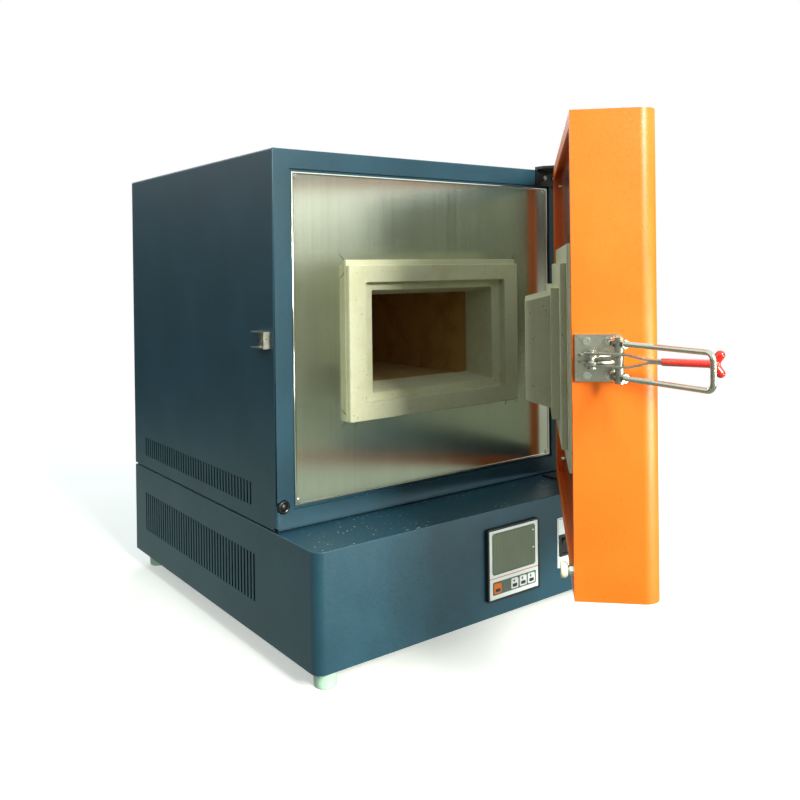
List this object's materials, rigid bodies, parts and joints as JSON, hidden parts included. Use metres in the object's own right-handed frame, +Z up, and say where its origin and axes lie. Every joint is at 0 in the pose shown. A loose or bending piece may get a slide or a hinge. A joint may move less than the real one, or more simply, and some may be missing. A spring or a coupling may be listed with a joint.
{
  "type": "pottery kiln",
  "caption": "Bench-top front-loading kiln with a fibre-lined chamber, a side-hung plug door on a toggle latch, and a control base.",
  "frame": {"origin": "middle of the four feet, on the plane that they stand on", "axes": "+X to the right across the front, +Y from the front to the back, +Z up"},
  "size_m": [0.5361, 1.0324, 0.6405],
  "materials": {
    "blue_paint": "fine-textured slate blue powder coat",
    "floor_steel": "plain zinc-coated sheet",
    "dark_seal": "black sealing strip",
    "foot_nylon": "milky moulded nylon",
    "black_plastic": "moulded black plastic",
    "black_rubber": "black rubber",
    "bright_screws": "bright zinc-plated and stainless fasteners",
    "brushed_plate": "vertically brushed stainless sheet",
    "polished_plate": "polished stainless sheet",
    "fibre_board": "vacuum-formed ceramic fibre board",
    "chamber_board": "heat-stained ceramic fibre board",
    "element_alloy": "oxidised resistance alloy",
    "white_ceramic": "unglazed white ceramic",
    "latch_steel": "bright stainless steel",
    "black_paint": "satin black paint",
    "panel_white": "white moulded plastic",
    "display_grey": "grey-green display window",
    "key_orange": "orange silicone key",
    "key_white": "white silicone key",
    "regulator_metal": "finned aluminium",
    "orange_paint": "fine-textured orange powder coat",
    "bush_brass": "turned brass",
    "white_nylon": "white nylon",
    "red_grip": "red dipped vinyl"
  },
  "bodies": {
    "kiln": {"base_housing": "blue_paint", "base_floor": "floor_steel", "base_rear_panel": "blue_paint", "seam_strip": "dark_seal", "feet": "foot_nylon", "cable_gland": "black_plastic", "body_shell": "blue_paint", "body_rear_panel": "blue_paint", "case_screws": "bright_screws", "front_plate": "brushed_plate", "front_screws": "bright_screws", "mouth_collar": "fibre_board", "mouth_frame": "fibre_board", "inner_casing": "floor_steel", "insulation_boards": "fibre_board", "chamber_left": "chamber_board", "chamber_right": "chamber_board", "chamber_roof": "chamber_board", "chamber_floor": "chamber_board", "chamber_rear": "chamber_board", "heating_elements": "element_alloy", "thermocouple": "white_ceramic", "vent_tube": "white_ceramic", "keeper": "latch_steel", "door_switch_body": "black_plastic", "hinge_bracket_top": "black_paint", "hinge_bracket_bottom": "black_paint", "hinge_pins": "bright_screws", "controller_case": "black_plastic", "controller_bezel": "black_plastic", "controller_face": "panel_white", "display_window": "display_grey", "legend_plate": "panel_white", "switch_frame": "black_plastic", "power_regulator": "regulator_metal", "terminal_block": "panel_white"},
    "door": {"door_shell": "orange_paint", "door_plate": "polished_plate", "door_plate_screws": "bright_screws", "door_insulation": "fibre_board", "plug_back_board": "fibre_board", "plug_slab": "fibre_board", "plug_nose": "fibre_board", "hinge_bushes": "bush_brass", "pusher_screw": "bright_screws", "pusher_disc": "white_nylon", "latch_base": "latch_steel", "latch_screws": "bright_screws", "latch_pin": "bright_screws"},
    "handle": {"latch_handle": "latch_steel", "handle_grip": "red_grip"},
    "wire_bail": {"trunnion_bar": "latch_steel", "bail": "latch_steel", "bail_nuts": "bright_screws"},
    "switch_button": {"door_switch_button": "black_rubber"},
    "set_key": {"button_set": "key_orange"},
    "left_key": {"button_left": "key_white"},
    "down_key": {"button_down": "key_white"},
    "up_key": {"button_up": "key_white"},
    "rocker": {"power_rocker": "black_plastic"}
  },
  "joints": [
    {"name": "door_swing", "type": "hinge", "parent": "kiln", "child": "door", "pos_m": [0.237, -0.251, 0.391], "axis": [0, 0, 1], "range_deg": [-44.5, 105.5]},
    {"name": "handle_pivot", "type": "hinge", "parent": "door", "child": "handle", "pos_m": [-0.13721, -0.59069, 0.401], "axis": [0, 0, -1], "range_deg": [-18, 132]},
    {"name": "bail_pivot", "type": "hinge", "parent": "handle", "child": "wire_bail", "pos_m": [-0.12755, -0.61484, 0.401], "axis": [0, 0, 1], "range_deg": [-151.76, 24]},
    {"name": "door_switch_press", "type": "slide", "parent": "kiln", "child": "switch_button", "axis": [0, 1, 0], "range_m": [0, 0.003], "stiffness_N_per_m": 600},
    {"name": "set_key_press", "type": "slide", "parent": "kiln", "child": "set_key", "axis": [0, 1, 0], "range_m": [0, 0.001], "stiffness_N_per_m": 400},
    {"name": "left_key_press", "type": "slide", "parent": "kiln", "child": "left_key", "axis": [0, 1, 0], "range_m": [0, 0.001], "stiffness_N_per_m": 400},
    {"name": "down_key_press", "type": "slide", "parent": "kiln", "child": "down_key", "axis": [0, 1, 0], "range_m": [0, 0.001], "stiffness_N_per_m": 400},
    {"name": "up_key_press", "type": "slide", "parent": "kiln", "child": "up_key", "axis": [0, 1, 0], "range_m": [0, 0.001], "stiffness_N_per_m": 400},
    {"name": "rocker_tilt", "type": "hinge", "parent": "kiln", "child": "rocker", "pos_m": [0.1555, -0.287, 0.093], "axis": [1, 0, 0], "range_deg": [-17, 0]}
  ]
}
